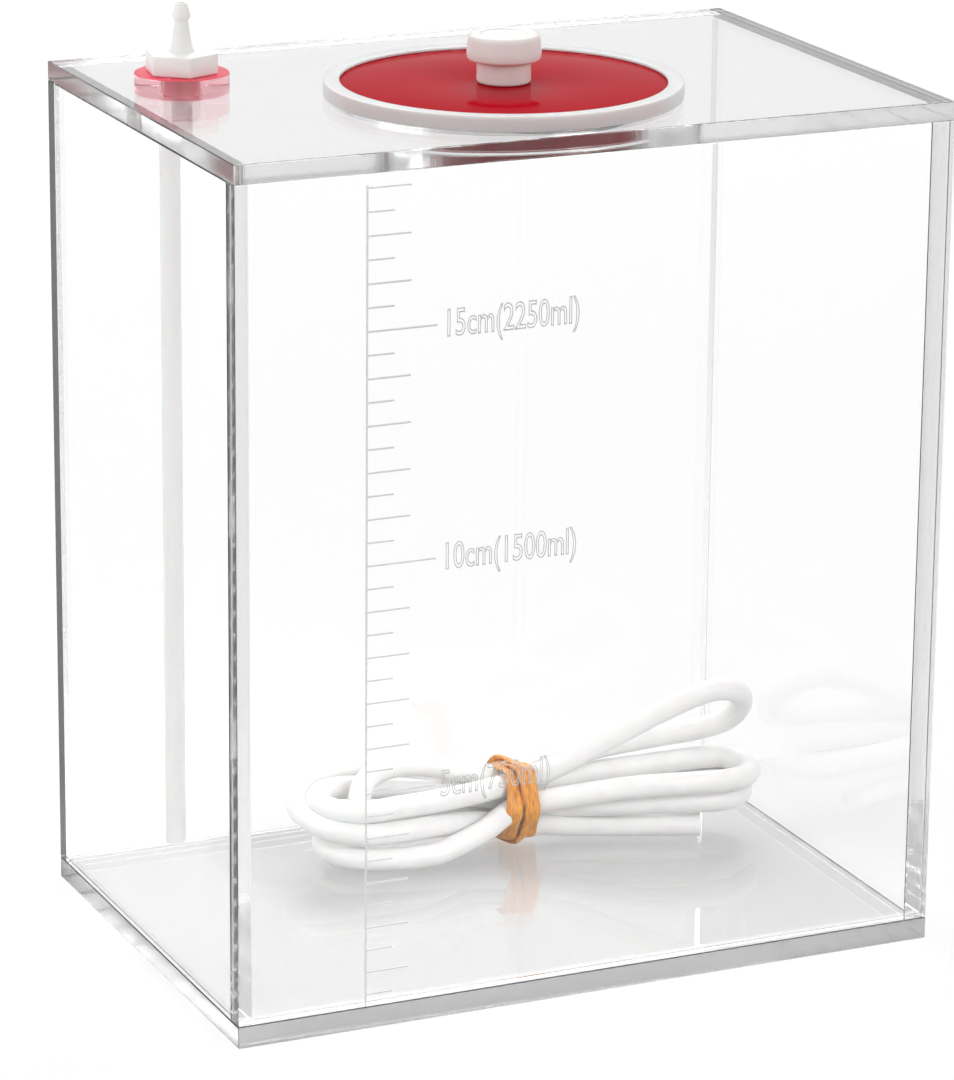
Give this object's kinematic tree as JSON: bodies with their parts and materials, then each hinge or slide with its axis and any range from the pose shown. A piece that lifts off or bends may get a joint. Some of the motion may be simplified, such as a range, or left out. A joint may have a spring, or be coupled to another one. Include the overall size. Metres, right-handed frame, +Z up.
{
  "type": "graduated acrylic liquid tank",
  "caption": "Clear box-shaped liquid tank with an engraved level scale, a red push-in lid with a knob, a hose fitting on a dip tube, and a loose hose tied in a hank inside.",
  "frame": {"origin": "middle of the underside of the base", "axes": "+X right along the face with the scale, +Y to the back, +Z up"},
  "size_m": [0.16, 0.108, 0.2037],
  "materials": {
    "clear_acrylic": "polished clear sheet with laser-cut edges",
    "red_acrylic": "glossy red sheet",
    "white_plastic": "moulded satin white",
    "milky_tube": "translucent rigid tube",
    "milky_silicone": "translucent moulded silicone",
    "silicone_hose": "satin white silicone",
    "orange_rubber": "matte latex band",
    "stainless_steel": "turned"
  },
  "bodies": {
    "tank": {"base_panel": "clear_acrylic", "front_panel": "clear_acrylic", "back_panel": "clear_acrylic", "left_panel": "clear_acrylic", "right_panel": "clear_acrylic", "top_panel": "clear_acrylic", "fitting_boss": "red_acrylic", "hose_fitting": "white_plastic", "dip_tube": "milky_tube", "hose_hank": "silicone_hose", "hose_loop": "silicone_hose", "rubber_band": "orange_rubber"},
    "lid": {"lid_disc": "red_acrylic", "lid_seal": "milky_silicone", "lid_knob": "white_plastic", "knob_washer": "white_plastic", "knob_screw": "stainless_steel"}
  },
  "joints": [
    {"name": "lid_lift", "type": "slide", "parent": "tank", "child": "lid", "axis": [0, 0, 1], "range_m": [0, 0.04]}
  ]
}
